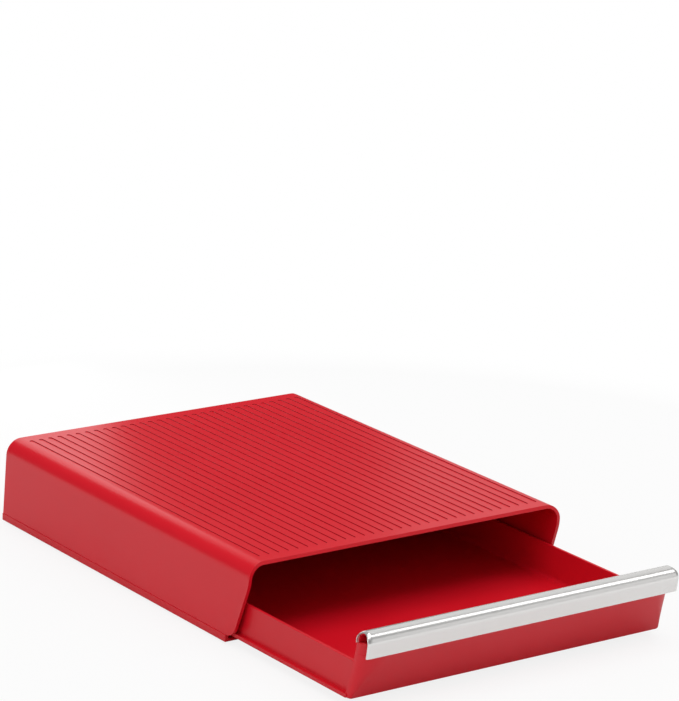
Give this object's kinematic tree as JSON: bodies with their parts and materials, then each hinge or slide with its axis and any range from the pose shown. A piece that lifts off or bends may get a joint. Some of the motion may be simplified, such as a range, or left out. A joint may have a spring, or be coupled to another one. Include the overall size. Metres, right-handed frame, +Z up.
{
  "type": "coffee pod drawer",
  "caption": "Low counter-top pod drawer: a ribbed red cover on a base plate, with a shallow pull-out tray behind a slanted front with a silver handle strip.",
  "frame": {"origin": "on the table, under the middle of the box that the object fills with its drawer half open", "axes": "+Z up, -Y is the front, where the drawer comes out, and +X is the right-hand side seen from the front"},
  "size_m": [0.2686, 0.4442, 0.0623],
  "materials": {
    "red_cover": "satin gloss moulded red plastic",
    "red_tray": "satin moulded red plastic",
    "silver_strip": "satin silver",
    "screw_steel": "zinc plated",
    "foot_rubber": "matt black"
  },
  "bodies": {
    "cover": {"cover_shell": "red_cover", "base_plate": "red_tray", "base_screws": "screw_steel", "front_left_foot": "foot_rubber", "front_right_foot": "foot_rubber", "back_left_foot": "foot_rubber", "back_right_foot": "foot_rubber"},
    "drawer": {"drawer_tray": "red_tray", "front_panel": "red_cover", "handle_strip": "silver_strip"}
  },
  "joints": [
    {"name": "drawer_slide", "type": "slide", "parent": "cover", "child": "drawer", "axis": [0, 1, 0], "range_m": [-0.1, 0.114]}
  ]
}
